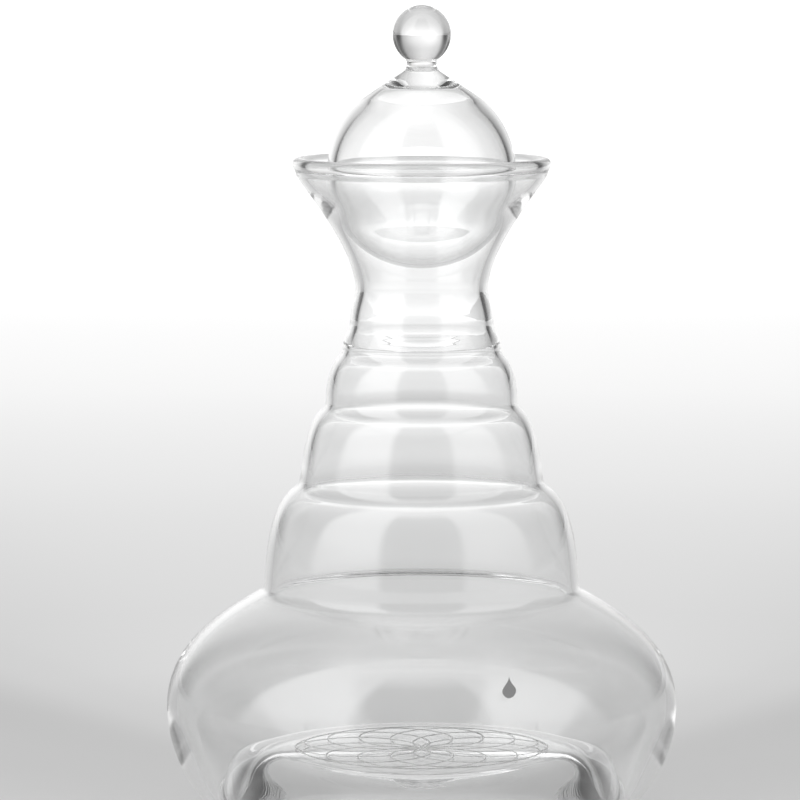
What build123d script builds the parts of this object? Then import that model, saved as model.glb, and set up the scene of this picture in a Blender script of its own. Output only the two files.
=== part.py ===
"""A stepped glass carafe with a ball-shaped lid, in millimetres.

The carafe is blown: five stepped tiers widen from a narrow waist down to a low round bulge, and above the
waist the wall flares into a mouth with a fire-polished rim. The base is pushed up into a flat-topped punt,
which carries a fired line print. The lid is a hollow glass ball that sits in the flare of the mouth, with a
short neck and a solid ball knob fused on top. Origin: the centre of the foot ring, on the table. +Z is up.
"""

import os
from math import cos, radians, sin, sqrt, tan

from build123d import *

# Slopes are in degrees, measured for a point that travels down the wall: 0 is level and outwards, 90 is
# straight down and 180 is level and inwards. A curve's pulls say how far its handles reach towards the
# corner where its two end tangents meet.

# ---- the wall's creases, from the waist down to the top of the bulge ----
# radius, height, slope just above, slope just below, glass thickness
CREASES = (
    (21.9, 176.4, 101, 75, 2.9),
    (24.0, 163.6, 89, 65, 2.6),
    (26.4, 155.2, 89, 49, 2.2),
    (32.0, 137.3, 90, 44, 2.4),
    (41.0, 110.8, 83, 36, 2.5),
    (52.8, 75.4, 87, 28, 2.7),
)
# Pulls of the curve under each crease: the five tiers, then the shoulder of the bulge.
TIER_PULLS = ((0.61, 0.62), (0.63, 0.62), (0.63, 0.69), (0.72, 0.74), (0.72, 0.74), (0.61, 0.78))
CREASE_BLEND = 2.2  # how far each crease's rounding reaches up and down the outer wall

# ---- the bulge, heel and foot ----
BULGE_RADIUS = 85.4
BULGE_HEIGHT = 36.5
BULGE_WALL = 3.2
HEEL_SLOPE = 157
HEEL_PULLS = (0.74, 0.26)
INNER_HEEL_PULLS = (0.7, 0.4)
FOOT_OUTER_RADIUS = 65.6
FOOT_INNER_RADIUS = 63.2
FOOT_BLEND = 0.7

# ---- the punt, pushed up into the base ----
PUNT_TOP = 21.0
PUNT_FLAT_RADIUS = 49.0
PUNT_WALL = 4.6
PUNT_PULLS = (0.70, 0.72)
TROUGH_RADIUS = 68.2
TROUGH_HEIGHT = 5.6
TROUGH_PUNT_SLOPE = 76
TROUGH_HEEL_SLOPE = 133
TROUGH_BLEND = 3.0
RECESS_FLAT_RADIUS = 47.0
RECESS_EDGE_SLOPE = 80
RECESS_PULLS = (0.70, 0.72)

# ---- the flared mouth and its rim ----
FLARE_TOP_RADIUS = 41.5
FLARE_TOP_HEIGHT = 213.5
FLARE_SLOPE = 126
FLARE_PULLS = (0.80, 0.80)
MOUTH_PULLS = (0.5, 0.5)  # the inside of the mouth, from the rim to the lid's seat
THROAT_PULLS = (0.6, 0.6)  # the inside of the mouth, from the seat to the waist
FLARE_WALL = 3.1
BEAD_RADIUS = 2.15
BEAD_CENTRE_RADIUS = 40.95
BEAD_CENTRE_HEIGHT = 217.65
BEAD_OUTER_ANGLE = -40
BEAD_INNER_ANGLE = 205
BEAD_BLEND = 1.1

# ---- the lid ----
BALL_RADIUS = 31.4
BALL_CENTRE = 215.0
BALL_WALL = 2.5
CAVITY_DROP = 0.8  # the cavity sits low in the ball: the glass is thinner below and thicker above
CAVITY_LEAVE_ANGLE = 44  # where the cavity's cone leaves its sphere, from the top
CAVITY_CONE_SLOPE = 40
CAVITY_CONE_PULLS = (0.5, 0.5)
CAVITY_FLAT_RADIUS = 12.0
CAVITY_FLAT_HEIGHT = 242.3
CAVITY_BLEND = 1.2
SEAT_ANGLE = 29  # the seat circle's angle below the ball's equator
SEAT_GAP = 0.15  # free play between the ball and the mouth
SHOULDER_ANGLE = 40  # where the lid's shoulder leaves the ball, from the top
SHOULDER_SLOPE = 32
SHOULDER_PULLS = (0.5, 0.5)
NECK_BASE_RADIUS = 6.6
NECK_BASE_HEIGHT = 248.0
NECK_RADIUS = 5.05
NECK_WAIST_HEIGHT = 250.6
NECK_TOP_SLOPE = -45  # the neck widens upwards where it meets the knob
KNOB_RADIUS = 9.75
KNOB_CENTRE = 260.5
KNOB_FLAT_RADIUS = 5.5  # radius of the disc where the neck runs into the knob

# ---- the fired line print on the punt ----
PRINT_RADIUS = 42.7
PRINT_CIRCLES = 12
PRINT_LINE = 0.45
PRINT_THICKNESS = 0.15

# ---- the small fired drop on the front of the bulge ----
MARK_X = 27.7
MARK_HEIGHT = 53.5
MARK_HALF_WIDTH = 2.2
MARK_TIP = 4.4  # the drop's tip, above its widest line
MARK_NECK = 2.2  # where the drop's sides leave the middle line
MARK_CHEEK = 1.1  # how far up the drop's sides stay upright
MARK_THICKNESS = 0.15
MARK_SLOPE = 58  # the wall's slope where the mark is


def heading(slope):
    """Unit step along the wall, as (radius, height)."""
    return Vector(cos(radians(slope)), -sin(radians(slope)))


def inward(slope):
    """Unit step from the outer face of a wall into the glass."""
    return Vector(-sin(radians(slope)), -cos(radians(slope)))


def inset_corner(radius, height, slope_above, slope_below, wall):
    """The inner wall's corner behind an outer corner, one glass thickness in from both its sides."""
    above = inward(slope_above)
    below = inward(slope_below)
    return Vector(radius, height) + (above + below) * (wall / (1 + above.dot(below)))


def inner_blend(slope_above, slope_below, wall):
    """The reach of an inner crease's rounding that keeps the glass as thick as it is beside the crease."""
    return CREASE_BLEND + wall * tan(radians(slope_above - slope_below) / 2)


def wall_curve(start, start_slope, end, end_slope, pulls):
    """One smooth curve down the wall, from its start to its end, at the given slopes."""
    leave = heading(start_slope)
    arrive = heading(end_slope)
    span = end - start
    cross = leave.X * arrive.Y - leave.Y * arrive.X
    to_corner = (span.X * arrive.Y - span.Y * arrive.X) / cross
    from_corner = (leave.X * span.Y - leave.Y * span.X) / cross
    return Bezier(
        start,
        start + leave * (to_corner * pulls[0]),
        end - arrive * (from_corner * pulls[1]),
        end,
    )


def corner_blend(corner, slope_above, slope_below, reach):
    """The rounding of one corner of the wall. Gives the points where it starts and ends."""
    start = corner - heading(slope_above) * reach
    end = corner + heading(slope_below) * reach
    Bezier(start, corner, end)
    return start, end


def tiers(corners, blends, start, start_slope, start_pulls, bulge_radius):
    """The wall from a start point above the waist down to the widest part of the bulge."""
    point, slope, pulls = start, start_slope, start_pulls
    for corner, blend, crease, next_pulls in zip(corners, blends, CREASES, TIER_PULLS):
        slope_above, slope_below = crease[2:4]
        blend_start, blend_end = corner_blend(corner, slope_above, slope_below, blend)
        wall_curve(point, slope, blend_start, slope_above, pulls)
        point, slope, pulls = blend_end, slope_below, next_pulls
    widest = Vector(bulge_radius, BULGE_HEIGHT)
    wall_curve(point, slope, widest, 90, pulls)
    return widest


def bead_point(angle):
    """A point on the round rim bead, by its angle in degrees above the outward level."""
    return Vector(
        BEAD_CENTRE_RADIUS + BEAD_RADIUS * cos(radians(angle)),
        BEAD_CENTRE_HEIGHT + BEAD_RADIUS * sin(radians(angle)),
    )


def bead_blend(angle, tangent, flare_start):
    """The short neck where the rim bead runs into one face of the flare."""
    start = bead_point(angle)
    Bezier(
        start,
        start + tangent * BEAD_BLEND,
        flare_start - heading(FLARE_SLOPE) * BEAD_BLEND,
        flare_start,
    )


def outer_wall():
    """The carafe's outside, from the rim bead down to the outer edge of the foot ring."""
    flare_start = Vector(FLARE_TOP_RADIUS, FLARE_TOP_HEIGHT)
    bead_blend(BEAD_OUTER_ANGLE, heading(90 - BEAD_OUTER_ANGLE), flare_start)
    corners = [Vector(radius, height) for radius, height, *_ in CREASES]
    blends = [CREASE_BLEND] * len(CREASES)
    widest = tiers(corners, blends, flare_start, FLARE_SLOPE, FLARE_PULLS, BULGE_RADIUS)
    foot = Vector(FOOT_OUTER_RADIUS, 0)
    heel_end, foot_start = corner_blend(foot, HEEL_SLOPE, 180, FOOT_BLEND)
    wall_curve(widest, 90, heel_end, HEEL_SLOPE, HEEL_PULLS)
    return foot_start


def underside(foot_start):
    """The flat foot ring and the recess behind it, in to the axis."""
    corner = Vector(FOOT_INNER_RADIUS, 0)
    blend_start, blend_end = corner_blend(corner, 180, 180 + RECESS_EDGE_SLOPE, FOOT_BLEND)
    Line(foot_start, blend_start)
    roof = Vector(RECESS_FLAT_RADIUS, PUNT_TOP - PUNT_WALL)
    wall_curve(roof, 0, blend_end, RECESS_EDGE_SLOPE, RECESS_PULLS)
    Line(roof, (0, roof.Y))


def inner_wall():
    """The carafe's inside, from the rim bead past the lid's seat and down to the axis on the punt."""
    flare_start = Vector(FLARE_TOP_RADIUS, FLARE_TOP_HEIGHT) + inward(FLARE_SLOPE) * FLARE_WALL
    bead_blend(BEAD_INNER_ANGLE, heading(270 - BEAD_INNER_ANGLE), flare_start)
    seat_radius = BALL_RADIUS + SEAT_GAP
    seat = Vector(
        seat_radius * cos(radians(SEAT_ANGLE)),
        BALL_CENTRE - seat_radius * sin(radians(SEAT_ANGLE)),
    )
    seat_slope = 90 + SEAT_ANGLE
    wall_curve(flare_start, FLARE_SLOPE, seat, seat_slope, MOUTH_PULLS)
    corners = [inset_corner(*crease) for crease in CREASES]
    blends = [inner_blend(*crease[2:]) for crease in CREASES]
    widest = tiers(corners, blends, seat, seat_slope, THROAT_PULLS, BULGE_RADIUS - BULGE_WALL)
    trough = Vector(TROUGH_RADIUS, TROUGH_HEIGHT)
    heel_end, punt_end = corner_blend(trough, TROUGH_HEEL_SLOPE, 180 + TROUGH_PUNT_SLOPE, TROUGH_BLEND)
    wall_curve(widest, 90, heel_end, TROUGH_HEEL_SLOPE, INNER_HEEL_PULLS)
    shoulder = Vector(PUNT_FLAT_RADIUS, PUNT_TOP)
    wall_curve(shoulder, 0, punt_end, TROUGH_PUNT_SLOPE, PUNT_PULLS)
    Line(shoulder, (0, PUNT_TOP))


def knob_flat_height():
    """Height of the disc where the neck meets the knob."""
    return KNOB_CENTRE - sqrt(KNOB_RADIUS**2 - KNOB_FLAT_RADIUS**2)


# ---- carafe body: one blown piece ----
with BuildPart() as carafe_body:
    with BuildSketch(Plane.XZ):
        with BuildLine():
            ThreePointArc(bead_point(BEAD_OUTER_ANGLE), bead_point(90), bead_point(BEAD_INNER_ANGLE))
            underside(outer_wall())
            inner_wall()
            Line((0, PUNT_TOP - PUNT_WALL), (0, PUNT_TOP))
        make_face()
    revolve(axis=Axis.Z)
carafe_body.part.label = "carafe_body"

# ---- fired print: a ring and a compass rosette of overlapping circles, on the punt's flat top ----
petal_radius = (PRINT_RADIUS - PRINT_LINE / 2) / 2
with BuildSketch() as petal:
    Circle(petal_radius + PRINT_LINE / 2)
    Circle(petal_radius - PRINT_LINE / 2, mode=Mode.SUBTRACT)

with BuildPart() as base_print:
    with BuildSketch(Plane.XY.offset(PUNT_TOP)):
        Circle(PRINT_RADIUS)
        Circle(PRINT_RADIUS - PRINT_LINE, mode=Mode.SUBTRACT)
        with PolarLocations(petal_radius, PRINT_CIRCLES):
            add(petal.sketch)
    extrude(amount=PRINT_THICKNESS)
base_print.part.label = "base_print"

# ---- fired mark: a small plain drop, cut from a thin skin over the bulge's shoulder ----
with BuildPart() as drop_mark:
    with BuildSketch(Plane.XZ):
        with BuildLine():
            radius, height, _, shoulder_slope, _ = CREASES[-1]
            skin_start = Vector(radius, height) + heading(shoulder_slope) * CREASE_BLEND
            skin_end = Vector(BULGE_RADIUS, BULGE_HEIGHT)
            lift = inward(MARK_SLOPE) * -MARK_THICKNESS
            wall_curve(skin_start, shoulder_slope, skin_end, 90, TIER_PULLS[-1])
            wall_curve(skin_start + lift, shoulder_slope, skin_end + lift, 90, TIER_PULLS[-1])
            Line(skin_start, skin_start + lift)
            Line(skin_end, skin_end + lift)
        make_face()
    revolve(axis=Axis.Z)
    with BuildSketch(Plane((MARK_X, 0, MARK_HEIGHT), x_dir=(1, 0, 0), z_dir=(0, -1, 0))):
        with BuildLine():
            for side in (-1, 1):
                edge = (side * MARK_HALF_WIDTH, 0)
                Bezier((0, MARK_TIP), (0, MARK_NECK), (side * MARK_HALF_WIDTH, MARK_CHEEK), edge)
            ThreePointArc((-MARK_HALF_WIDTH, 0), (0, -MARK_HALF_WIDTH), (MARK_HALF_WIDTH, 0))
        make_face()
    extrude(amount=BULGE_RADIUS, mode=Mode.INTERSECT)
drop_mark.part.label = "drop_mark"

# ---- lid ball: hollow, with a conical shoulder up to the neck ----
with BuildPart() as lid_ball:
    with BuildSketch(Plane.XZ):
        with BuildLine():
            leave_angle = radians(SHOULDER_ANGLE)
            shoulder_end = Vector(
                BALL_RADIUS * sin(leave_angle),
                BALL_CENTRE + BALL_RADIUS * cos(leave_angle),
            )
            neck_base = Vector(NECK_BASE_RADIUS, NECK_BASE_HEIGHT)
            ThreePointArc((0, BALL_CENTRE - BALL_RADIUS), (BALL_RADIUS, BALL_CENTRE), shoulder_end)
            wall_curve(neck_base, SHOULDER_SLOPE, shoulder_end, SHOULDER_ANGLE, SHOULDER_PULLS)
            Polyline((0, BALL_CENTRE - BALL_RADIUS), (0, NECK_BASE_HEIGHT), neck_base)
        make_face()
        cavity_radius = BALL_RADIUS - BALL_WALL
        cavity_centre = BALL_CENTRE - CAVITY_DROP
        with BuildLine():
            leave_angle = radians(CAVITY_LEAVE_ANGLE)
            sphere_end = Vector(
                cavity_radius * sin(leave_angle),
                cavity_centre + cavity_radius * cos(leave_angle),
            )
            CenterArc((0, cavity_centre), cavity_radius, -90, 180 - CAVITY_LEAVE_ANGLE)
            corner = Vector(CAVITY_FLAT_RADIUS, CAVITY_FLAT_HEIGHT)
            flat_end, cone_start = corner_blend(corner, 0, CAVITY_CONE_SLOPE, CAVITY_BLEND)
            wall_curve(cone_start, CAVITY_CONE_SLOPE, sphere_end, CAVITY_LEAVE_ANGLE, CAVITY_CONE_PULLS)
            Line(flat_end, (0, CAVITY_FLAT_HEIGHT))
            Line((0, cavity_centre - cavity_radius), (0, CAVITY_FLAT_HEIGHT))
        make_face(mode=Mode.SUBTRACT)
    revolve(axis=Axis.Z)
lid_ball.part.label = "lid_ball"

# ---- lid neck: the fused collar between the ball and the knob ----
with BuildPart() as lid_neck:
    with BuildSketch(Plane.XZ):
        with BuildLine():
            neck_top = knob_flat_height()
            Spline(
                (NECK_BASE_RADIUS, NECK_BASE_HEIGHT),
                (NECK_RADIUS, NECK_WAIST_HEIGHT),
                (KNOB_FLAT_RADIUS, neck_top),
                tangents=(heading(180 + SHOULDER_SLOPE), heading(NECK_TOP_SLOPE)),
            )
            Polyline(
                (KNOB_FLAT_RADIUS, neck_top),
                (0, neck_top),
                (0, NECK_BASE_HEIGHT),
                (NECK_BASE_RADIUS, NECK_BASE_HEIGHT),
            )
        make_face()
    revolve(axis=Axis.Z)
lid_neck.part.label = "lid_neck"

# ---- lid knob: a solid glass ball ----
with BuildPart() as lid_knob:
    with BuildSketch(Plane.XZ):
        with BuildLine():
            knob_flat = (KNOB_FLAT_RADIUS, knob_flat_height())
            ThreePointArc((0, KNOB_CENTRE + KNOB_RADIUS), (KNOB_RADIUS, KNOB_CENTRE), knob_flat)
            Polyline(knob_flat, (0, knob_flat_height()), (0, KNOB_CENTRE + KNOB_RADIUS))
        make_face()
    revolve(axis=Axis.Z)
lid_knob.part.label = "lid_knob"

os.makedirs("parts", exist_ok=True)
export_step(carafe_body.part, "parts/carafe_body.step")
export_step(base_print.part, "parts/base_print.step")
export_step(drop_mark.part, "parts/drop_mark.step")
export_step(lid_ball.part, "parts/lid_ball.step")
export_step(lid_neck.part, "parts/lid_neck.step")
export_step(lid_knob.part, "parts/lid_knob.step")
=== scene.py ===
from math import cos, pi, radians, sin

import bpy
import numpy as np
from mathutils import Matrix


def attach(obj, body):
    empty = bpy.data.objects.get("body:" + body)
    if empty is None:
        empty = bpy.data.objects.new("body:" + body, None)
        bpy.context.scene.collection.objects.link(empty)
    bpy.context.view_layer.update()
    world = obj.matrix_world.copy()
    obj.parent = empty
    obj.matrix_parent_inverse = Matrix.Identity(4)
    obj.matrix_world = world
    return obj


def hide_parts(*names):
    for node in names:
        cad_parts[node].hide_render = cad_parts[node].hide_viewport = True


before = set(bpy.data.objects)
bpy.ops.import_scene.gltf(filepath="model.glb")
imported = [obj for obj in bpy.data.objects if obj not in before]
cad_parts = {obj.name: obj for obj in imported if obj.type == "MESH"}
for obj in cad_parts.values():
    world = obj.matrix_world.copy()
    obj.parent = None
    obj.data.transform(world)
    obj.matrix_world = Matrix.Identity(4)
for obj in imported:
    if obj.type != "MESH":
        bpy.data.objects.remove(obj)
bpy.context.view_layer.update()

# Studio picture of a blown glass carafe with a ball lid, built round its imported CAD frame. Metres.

# ---- camera: its place is measured from the carafe's axis and from the table ----
EYE_DISTANCE = 1.587
EYE_HEIGHT = 0.303
EYE_PITCH = radians(5.9)
AXIS_OFFSET = 0.0072  # the carafe stands this far to the right of the picture's middle
LENS = 215.4
SENSOR = 36.0
CLIP_END = 100.0  # past the far edge of the floor

# ---- lathe ----
AROUND = 192  # segments round each glass piece
MAX_STEP = 0.0020  # longest step along a profile
MAX_TURN = radians(3.0)  # sharpest turn between two steps
FINE_STEP = 0.0001  # spacing of the dense points that a profile is thinned from
ON_AXIS = 0.000001  # closer to the axis or the seam plane than this counts as on it
SEAM_DIGITS = 6  # seam points are matched to a thousandth of a millimetre
DISC_STEPS = 12  # rings across a flat disc

# ---- blown glass is never quite round: how far its walls wander ----
BODY_WANDER = 0.00006
LID_WANDER = 0.00005
# share of the wander, waves round the glass, and their turn with the phase, the height and the radius
WAVES = ((0.45, 2, 1.0, 14, 0), (0.30, 3, -1.7, 31, 0), (0.25, 5, 0.6, -47, 23))
BODY_PHASE = 0.7
LID_PHASE = 2.1
CAVITY_PHASE = 4.0
STEADY_RADIUS = 0.01  # nearer the axis than this the wander dies away

# ---- materials ----
GLASS_IOR = 1.47
BODY_TINT = (0.958, 0.960, 0.960)
LID_TINT = (0.995, 0.996, 0.996)
BODY_RIPPLE = (22.0, 0.00004)  # noise scale and height of the wall's faint ripple
LID_RIPPLE = (30.0, 0.00002)
RIPPLE_DETAIL = 1.5
# node, pale tone, dark tone
PRINTS = (
    ("base_print", (0.97, 0.97, 0.96), (0.62, 0.62, 0.62)),
    ("drop_mark", (0.24, 0.24, 0.24), (0.16, 0.16, 0.16)),
)
ENAMEL_MOTTLE = 110.0
ENAMEL_DETAIL = 4.0
ENAMEL_TONES = (0.32, 0.52)  # where in the noise the dark tone ends and the pale tone starts
ENAMEL_RELIEF = 0.00003
ENAMEL_ROUGHNESS = 0.38

# ---- light crosses many glass surfaces before it gets out ----
ALL_BOUNCES = 96
GLASS_BOUNCES = 64


# ------------------------------------------------------------------ profiles, read from the frame


def seam_chains(node):
    """A turned node's outline in the half plane y = 0, x >= 0: chains of (radius, height) points."""
    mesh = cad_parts[node].data
    places = {}
    for vertex in mesh.vertices:
        x, y, z = vertex.co
        if abs(y) < ON_AXIS and x > -ON_AXIS:
            places[vertex.index] = (round(max(x, 0.0), SEAM_DIGITS), round(z, SEAM_DIGITS))
    links = {place: set() for place in places.values()}
    for edge in mesh.edges:
        a, b = (places.get(index) for index in edge.vertices)
        if a and b and a != b:
            links[a].add(b)
            links[b].add(a)
    chains = []
    ends = [place for place in sorted(links, key=lambda p: (p[1], p[0])) if len(links[place]) == 1]
    used = set()
    for start in ends:
        if start in used:
            continue
        chain = [start]
        used.add(start)
        while True:
            ahead = [place for place in links[chain[-1]] if place not in used]
            if not ahead:
                break
            chain.append(ahead[0])
            used.add(ahead[0])
        chains.append(np.array(chain))
    return chains


def spline_through(points):
    """Dense points on the natural cubic spline through a profile's points, by chord length."""
    chord = np.concatenate(([0.0], np.cumsum(np.linalg.norm(np.diff(points, axis=0), axis=1))))
    gap = np.diff(chord)
    count = len(points)
    system = np.eye(count)
    target = np.zeros((count, 2))
    for i in range(1, count - 1):
        system[i, i - 1 : i + 2] = gap[i - 1], 2 * (gap[i - 1] + gap[i]), gap[i]
        target[i] = 6 * (
            (points[i + 1] - points[i]) / gap[i] - (points[i] - points[i - 1]) / gap[i - 1]
        )
    bend = np.linalg.solve(system, target)
    places = np.linspace(0, chord[-1], int(chord[-1] / FINE_STEP))
    span = np.clip(np.searchsorted(chord, places, side="right") - 1, 0, count - 2)
    h = gap[span][:, None]
    after = (places - chord[span])[:, None]
    before = h - after
    return (
        (bend[span] * before**3 + bend[span + 1] * after**3) / (6 * h)
        + (points[span] / h - bend[span] * h / 6) * before
        + (points[span + 1] / h - bend[span + 1] * h / 6) * after
    )


def thinned(points):
    """Keeps the dense points that the profile's bends and longest step need."""
    kept = [points[0]]
    turned = 0.0
    travelled = 0.0
    steps = np.diff(points, axis=0)
    headings = np.unwrap(np.arctan2(steps[:, 1], steps[:, 0]))
    for i in range(1, len(steps)):
        turned += abs(headings[i] - headings[i - 1])
        travelled += np.linalg.norm(steps[i - 1])
        if turned > MAX_TURN or travelled > MAX_STEP:
            kept.append(points[i])
            turned = 0.0
            travelled = 0.0
    kept.append(points[-1])
    return np.array(kept)


def smooth_profile(points):
    """One smooth line through a profile's points, with fine steps where it bends."""
    return thinned(spline_through(np.array(points)))


# ------------------------------------------------------------------ turned glass


def wander(angle, radius, height, amount, phase):
    """How far a blown wall stands off its true radius: long soft waves, alike on every run."""
    out = 0.0
    for share, count, turn, rise, spread in WAVES:
        out += share * cos(count * angle + turn * phase + rise * height + spread * radius)
    return amount * (out - 1.0)


def lathe(name, shells):
    """One mesh from closed turned shells. Each shell is (profile, wander amount, phase)."""
    vertices = []
    faces = []
    for profile, amount, phase in shells:
        rings = []
        for radius, height in profile:
            if radius < ON_AXIS:
                rings.append([len(vertices)])
                vertices.append((0.0, 0.0, height))
                continue
            rings.append(list(range(len(vertices), len(vertices) + AROUND)))
            for step in range(AROUND):
                angle = 2 * pi * step / AROUND
                steady = min(1.0, radius / STEADY_RADIUS)
                r = radius + steady * wander(angle, radius, height, amount, phase)
                vertices.append((r * cos(angle), r * sin(angle), height))
        for low, high in zip(rings, rings[1:]):
            for step in range(AROUND):
                after = (step + 1) % AROUND
                if len(low) == 1:
                    faces.append((low[0], high[after], high[step]))
                elif len(high) == 1:
                    faces.append((low[step], low[after], high[0]))
                else:
                    faces.append((low[step], low[after], high[after], high[step]))
    mesh = bpy.data.meshes.new(name)
    mesh.from_pydata(vertices, [], faces)
    mesh.polygons.foreach_set("use_smooth", [True] * len(mesh.polygons))
    mesh.update()
    piece = bpy.data.objects.new(name, mesh)
    bpy.context.scene.collection.objects.link(piece)
    return piece


def level_to_axis(point):
    """Points of a flat disc, from the axis out to a profile's end."""
    return [(point[0] * i / DISC_STEPS, point[1]) for i in range(DISC_STEPS)]


def carafe_glass():
    """The blown body: one closed wall, from the recess under the base round the rim to the punt."""
    chain = seam_chains("carafe_body")[0]
    if chain[0][1] > chain[-1][1]:
        chain = chain[::-1]
    middle = smooth_profile(chain)
    rim = int(np.argmax(middle[:, 1]))
    under = np.array(level_to_axis(middle[0]) + list(middle[: rim + 1]))
    inside = np.array(list(middle[rim:]) + level_to_axis(middle[-1])[::-1])
    profile = np.concatenate((under, inside[1:]))
    return lathe("carafe_glass", [(profile, BODY_WANDER, BODY_PHASE)])


def lid_glass():
    """The lid as it is blown and fused: ball, neck and knob are one skin round a closed cavity."""
    ball = sorted(seam_chains("lid_ball"), key=lambda chain: -chain[:, 0].max())
    outer = list(ball[0])
    for node in ("lid_neck", "lid_knob"):
        part = seam_chains(node)[0]
        if part[0][1] > part[-1][1]:
            part = part[::-1]
        outer += list(part[1:])
    cavity = ball[1]
    if cavity[0][1] < cavity[-1][1]:
        cavity = cavity[::-1]
    inside = np.array(level_to_axis(cavity[0]) + list(smooth_profile(cavity)))
    shells = [(smooth_profile(outer), LID_WANDER, LID_PHASE), (inside, LID_WANDER, CAVITY_PHASE)]
    return lathe("lid_glass", shells)


# ------------------------------------------------------------------ materials


def new_material(name):
    material = bpy.data.materials.new(name)
    material.use_nodes = True
    nodes = material.node_tree.nodes
    return material, nodes, material.node_tree.links, nodes["Principled BSDF"]


def clear_glass(name, tint, ripple_size):
    """Clear blown glass: smooth, with the faint long ripple of a wall that was never ground."""
    material, nodes, links, shader = new_material(name)
    scale, height = ripple_size
    shader.inputs["Base Color"].default_value = (*tint, 1)
    shader.inputs["Transmission Weight"].default_value = 1.0
    shader.inputs["IOR"].default_value = GLASS_IOR
    shader.inputs["Roughness"].default_value = 0.0
    place = nodes.new("ShaderNodeTexCoord")
    ripple = nodes.new("ShaderNodeTexNoise")
    ripple.inputs["Scale"].default_value = scale
    ripple.inputs["Detail"].default_value = RIPPLE_DETAIL
    links.new(place.outputs["Object"], ripple.inputs["Vector"])
    bump = nodes.new("ShaderNodeBump")
    bump.inputs["Strength"].default_value = 1.0
    bump.inputs["Distance"].default_value = height
    links.new(ripple.outputs["Fac"], bump.inputs["Height"])
    links.new(bump.outputs["Normal"], shader.inputs["Normal"])
    return material


def fired_enamel(name, pale, dark):
    """Fired enamel line: satin, slightly uneven in tone and thickness."""
    material, nodes, links, shader = new_material(name)
    place = nodes.new("ShaderNodeTexCoord")
    mottle = nodes.new("ShaderNodeTexNoise")
    mottle.inputs["Scale"].default_value = ENAMEL_MOTTLE
    mottle.inputs["Detail"].default_value = ENAMEL_DETAIL
    links.new(place.outputs["Object"], mottle.inputs["Vector"])
    tone = nodes.new("ShaderNodeValToRGB")
    for stop, level, colour in zip(tone.color_ramp.elements, ENAMEL_TONES, (dark, pale)):
        stop.position = level
        stop.color = (*colour, 1)
    links.new(mottle.outputs["Fac"], tone.inputs["Fac"])
    links.new(tone.outputs["Color"], shader.inputs["Base Color"])
    bump = nodes.new("ShaderNodeBump")
    bump.inputs["Strength"].default_value = 1.0
    bump.inputs["Distance"].default_value = ENAMEL_RELIEF
    links.new(mottle.outputs["Fac"], bump.inputs["Height"])
    links.new(bump.outputs["Normal"], shader.inputs["Normal"])
    shader.inputs["Roughness"].default_value = ENAMEL_ROUGHNESS
    return material


# ------------------------------------------------------------------ stage, light and camera

# Brightness of the studio round the carafe, by bearing: 0 is straight behind it and 180 is the camera's
# side. Behind it hangs a white backdrop, and black boards stand beside that. Two tall soft light banks
# lean in from the front left and right, with the dark room between them. The left one is brighter.
# STUDIO_LOW holds for level directions, STUDIO_HIGH for higher ones and STUDIO_TOP overhead.
FARTHEST_BEARING = 180
STUDIO_LOW = (
    (0, 1.15), (12, 1.10), (21, 0.90), (29, 0.60), (35, 0.14), (46, 0.14), (52, 0.45), (86, 0.45),
    (92, 1.20), (104, 1.40), (140, 1.50), (146, 1.35), (151, 0.20), (158, 0.05), (180, 0.04),
)
STUDIO_HIGH = (
    (0, 0.90), (15, 0.75), (28, 0.55), (36, 0.20), (46, 0.20), (52, 0.35), (57, 0.03), (90, 0.03),
    (95, 1.60), (108, 2.00), (138, 2.20), (145, 1.90), (150, 0.40), (157, 0.10), (180, 0.08),
)
STUDIO_TOP = ((0, 0.80), (70, 0.70), (100, 1.75), (180, 1.80))
# how far a direction rises, where one of them starts to become the next and where it has become it
LOW_TO_HIGH = (sin(radians(1)), sin(radians(20)))
HIGH_TO_TOP = (sin(radians(55)), sin(radians(78)))
LEFT_LEVEL = 1.08
RIGHT_LEVEL = 0.72
LEFT_TO_RIGHT = (-0.5, 0.5)  # how far to the side a direction points, where one level becomes the other

# The paper's tone is painted light and shade: painted shade makes it darkest under the carafe, and far
# from it painted light makes it as bright as this, by bearing, brighter towards the backdrop and the
# light banks and darker towards the black boards.
FLOOR_FAR_PAINTED_LIGHT = (
    (0, 1.28), (14, 1.20), (24, 0.95), (30, 0.75), (36, 0.36), (48, 0.36), (64, 0.48), (88, 0.80),
    (110, 1.10), (145, 1.05), (165, 0.75),
)
FLOOR_RADIUS = 40.0
FLOOR_SIDES = 96
FLOOR_GAP = 0.0002  # paper fibres hold the foot this far off the sheet, so light gets under it
FLOOR_PAINTED_SHADE = 0.565  # the paper's painted shade under the carafe: its brightness there
# share of the way from the painted shade under the carafe to the far painted light, by metres from the
# carafe's middle
PAINTED_LIGHT_FADE_BEHIND = (
    (0, 0.0), (0.22, 0.25), (0.49, 0.27), (0.84, 0.346), (1.34, 0.464), (2.1, 0.57), (4.4, 0.72),
    (11, 0.90),
)
PAINTED_LIGHT_FADE_IN_FRONT = ((0, 0.0), (0.15, 0.25), (0.45, 0.85), (0.8, 1.0))
FADE_TURN = (55, 120)  # the bearings between which the fade behind becomes the fade in front
FLOOR_PAINTED_GLOW = 0.84  # how much of its brightness the paper has without any light on it: a painted glow, though the paper is no lamp
FLOOR_MATT = 0.25  # how much of the light that falls on the paper it gives back, shadows and all


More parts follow.
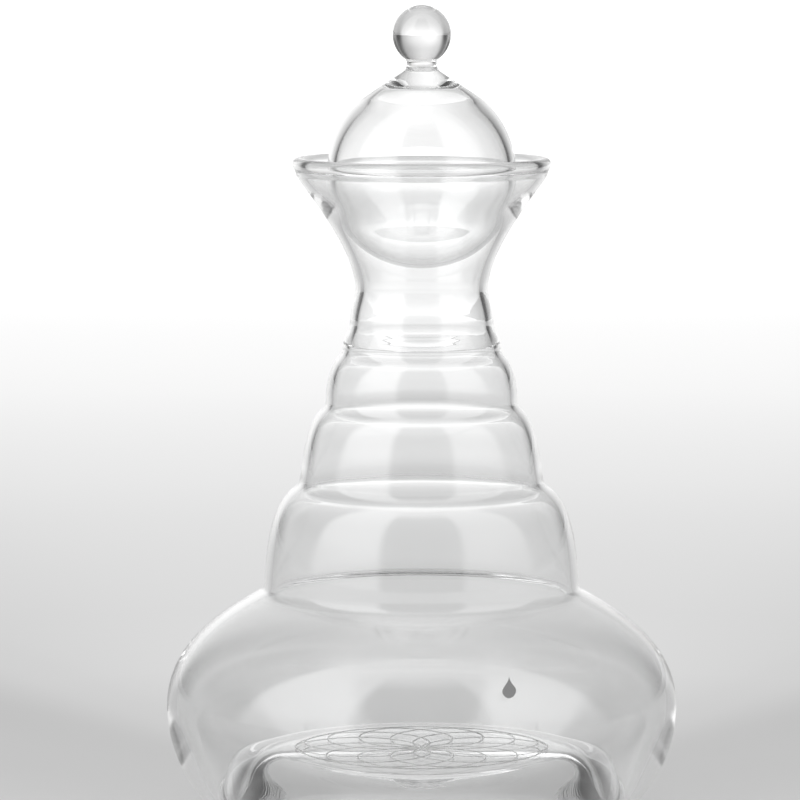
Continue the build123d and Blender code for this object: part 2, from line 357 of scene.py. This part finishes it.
def ramp(nodes, links, value, stops, span):
    """A smooth curve through (place, brightness) stops. A ramp clips at 1, so it is scaled after."""
    peak = max(grey for _, grey in stops)
    share = nodes.new("ShaderNodeMath")
    share.operation = "DIVIDE"
    share.inputs[1].default_value = span
    links.new(value, share.inputs[0])
    curve = nodes.new("ShaderNodeValToRGB")
    curve.color_ramp.interpolation = "CARDINAL"
    curve.color_ramp.elements.remove(curve.color_ramp.elements[1])
    for number, (place, grey) in enumerate(stops):
        if number:
            stop = curve.color_ramp.elements.new(place / span)
        else:
            stop = curve.color_ramp.elements[0]
        stop.color = (grey / peak, grey / peak, grey / peak, 1)
    links.new(share.outputs["Value"], curve.inputs["Fac"])
    scaled = nodes.new("ShaderNodeMath")
    scaled.operation = "MULTIPLY"
    scaled.inputs[1].default_value = peak
    links.new(curve.outputs["Color"], scaled.inputs[0])
    return scaled.outputs["Value"]


def blend(nodes, links, first, second, value, start, end):
    """Goes smoothly from one brightness to another as a value goes from start to end."""
    share = nodes.new("ShaderNodeMapRange")
    share.interpolation_type = "SMOOTHSTEP"
    share.inputs["From Min"].default_value = start
    share.inputs["From Max"].default_value = end
    links.new(value, share.inputs["Value"])
    mixed = nodes.new("ShaderNodeMix")
    mixed.data_type = "FLOAT"
    links.new(share.outputs["Result"], mixed.inputs["Factor"])
    for source, socket in ((first, mixed.inputs["A"]), (second, mixed.inputs["B"])):
        if isinstance(source, float):
            socket.default_value = source
        else:
            links.new(source, socket)
    return mixed.outputs["Result"]


def bearing(nodes, links, place):
    """The bearing in degrees, alike on both sides, then the height and the place across."""
    parts = nodes.new("ShaderNodeSeparateXYZ")
    links.new(place, parts.inputs["Vector"])
    side = nodes.new("ShaderNodeMath")
    side.operation = "ABSOLUTE"
    links.new(parts.outputs["X"], side.inputs[0])
    turn = nodes.new("ShaderNodeMath")
    turn.operation = "ARCTAN2"
    links.new(side.outputs["Value"], turn.inputs[0])
    links.new(parts.outputs["Y"], turn.inputs[1])
    degrees = nodes.new("ShaderNodeMath")
    degrees.operation = "DEGREES"
    links.new(turn.outputs["Value"], degrees.inputs[0])
    return degrees.outputs["Value"], parts.outputs["Z"], parts.outputs["X"]


def studio_world():
    world = bpy.data.worlds.new("studio")
    world.use_nodes = True
    nodes, links = world.node_tree.nodes, world.node_tree.links
    place = nodes.new("ShaderNodeTexCoord")
    turn, rise, across = bearing(nodes, links, place.outputs["Generated"])
    low = ramp(nodes, links, turn, STUDIO_LOW, FARTHEST_BEARING)
    high = ramp(nodes, links, turn, STUDIO_HIGH, FARTHEST_BEARING)
    top = ramp(nodes, links, turn, STUDIO_TOP, FARTHEST_BEARING)
    room = blend(nodes, links, low, high, rise, *LOW_TO_HIGH)
    dome = blend(nodes, links, room, top, rise, *HIGH_TO_TOP)
    level = blend(nodes, links, LEFT_LEVEL, RIGHT_LEVEL, across, *LEFT_TO_RIGHT)
    links.new(dome, nodes["Background"].inputs["Color"])
    links.new(level, nodes["Background"].inputs["Strength"])
    bpy.context.scene.world = world


def painted_light_floor_material():
    """Pale seamless paper that glows by itself: painted shade makes it soft grey under the carafe, and
    painted light makes it as bright as the room far from it.
    """
    material, nodes, links, shader = new_material("paper_with_painted_light")
    nodes.remove(shader)
    place = nodes.new("ShaderNodeTexCoord")
    reach = nodes.new("ShaderNodeVectorMath")
    reach.operation = "LENGTH"
    links.new(place.outputs["Object"], reach.inputs[0])
    turn, _, _ = bearing(nodes, links, place.outputs["Object"])
    # painted light: how bright the paper is far away, by bearing round the carafe
    room = ramp(nodes, links, turn, FLOOR_FAR_PAINTED_LIGHT, FARTHEST_BEARING)
    # painted light that grows with distance from the carafe, out of the painted shade under it
    behind = ramp(nodes, links, reach.outputs["Value"], PAINTED_LIGHT_FADE_BEHIND, FLOOR_RADIUS)
    in_front = ramp(nodes, links, reach.outputs["Value"], PAINTED_LIGHT_FADE_IN_FRONT, FLOOR_RADIUS)
    fade = blend(nodes, links, behind, in_front, turn, *FADE_TURN)
    # the paper's tone: painted shade under the carafe, blended out to painted light far from it
    tone = blend(nodes, links, FLOOR_PAINTED_SHADE, room, fade, 0.0, 1.0)
    # a painted glow: the paper gives off light though it is no lamp
    painted_glow = nodes.new("ShaderNodeEmission")
    painted_glow.inputs["Strength"].default_value = FLOOR_PAINTED_GLOW
    links.new(tone, painted_glow.inputs["Color"])
    matt = nodes.new("ShaderNodeBsdfDiffuse")
    dim = nodes.new("ShaderNodeMath")
    dim.operation = "MULTIPLY"
    dim.inputs[1].default_value = FLOOR_MATT
    links.new(tone, dim.inputs[0])
    links.new(dim.outputs["Value"], matt.inputs["Color"])
    both = nodes.new("ShaderNodeAddShader")
    links.new(painted_glow.outputs["Emission"], both.inputs[0])
    links.new(matt.outputs["BSDF"], both.inputs[1])
    links.new(both.outputs["Shader"], nodes["Material Output"].inputs["Surface"])
    return material


def floor():
    mesh = bpy.data.meshes.new("floor")
    turns = [2 * pi * side / FLOOR_SIDES for side in range(FLOOR_SIDES)]
    edge = [(FLOOR_RADIUS * cos(turn), FLOOR_RADIUS * sin(turn), 0.0) for turn in turns]
    mesh.from_pydata(edge, [], [tuple(range(FLOOR_SIDES))])
    mesh.materials.append(painted_light_floor_material())
    piece = bpy.data.objects.new("floor", mesh)
    piece.location.z = -FLOOR_GAP
    bpy.context.scene.collection.objects.link(piece)


def camera():
    lens = bpy.data.cameras.new("camera")
    lens.lens = LENS
    lens.sensor_width = SENSOR
    lens.clip_end = CLIP_END
    holder = bpy.data.objects.new("camera", lens)
    holder.location = (-AXIS_OFFSET, -EYE_DISTANCE, EYE_HEIGHT)
    holder.rotation_euler = (pi / 2 - EYE_PITCH, 0, 0)
    bpy.context.scene.collection.objects.link(holder)
    bpy.context.scene.camera = holder


# ------------------------------------------------------------------ the picture

camera()
studio_world()
floor()

body = carafe_glass()
body.data.materials.append(clear_glass("body_glass", BODY_TINT, BODY_RIPPLE))
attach(body, "carafe")
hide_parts("carafe_body")

lid = lid_glass()
lid.data.materials.append(clear_glass("lid_glass", LID_TINT, LID_RIPPLE))
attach(lid, "lid")
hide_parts("lid_ball", "lid_neck", "lid_knob")

for node, pale, dark in PRINTS:
    enamel = fired_enamel(node + "_enamel", pale, dark)
    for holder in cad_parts[node].material_slots:
        holder.material = enamel

settings = bpy.context.scene.cycles
settings.max_bounces = ALL_BOUNCES
settings.transmission_bounces = GLASS_BOUNCES
settings.glossy_bounces = GLASS_BOUNCES
settings.use_denoising = True
bpy.context.scene.view_settings.view_transform = "Standard"
bpy.context.scene.view_settings.look = "None"
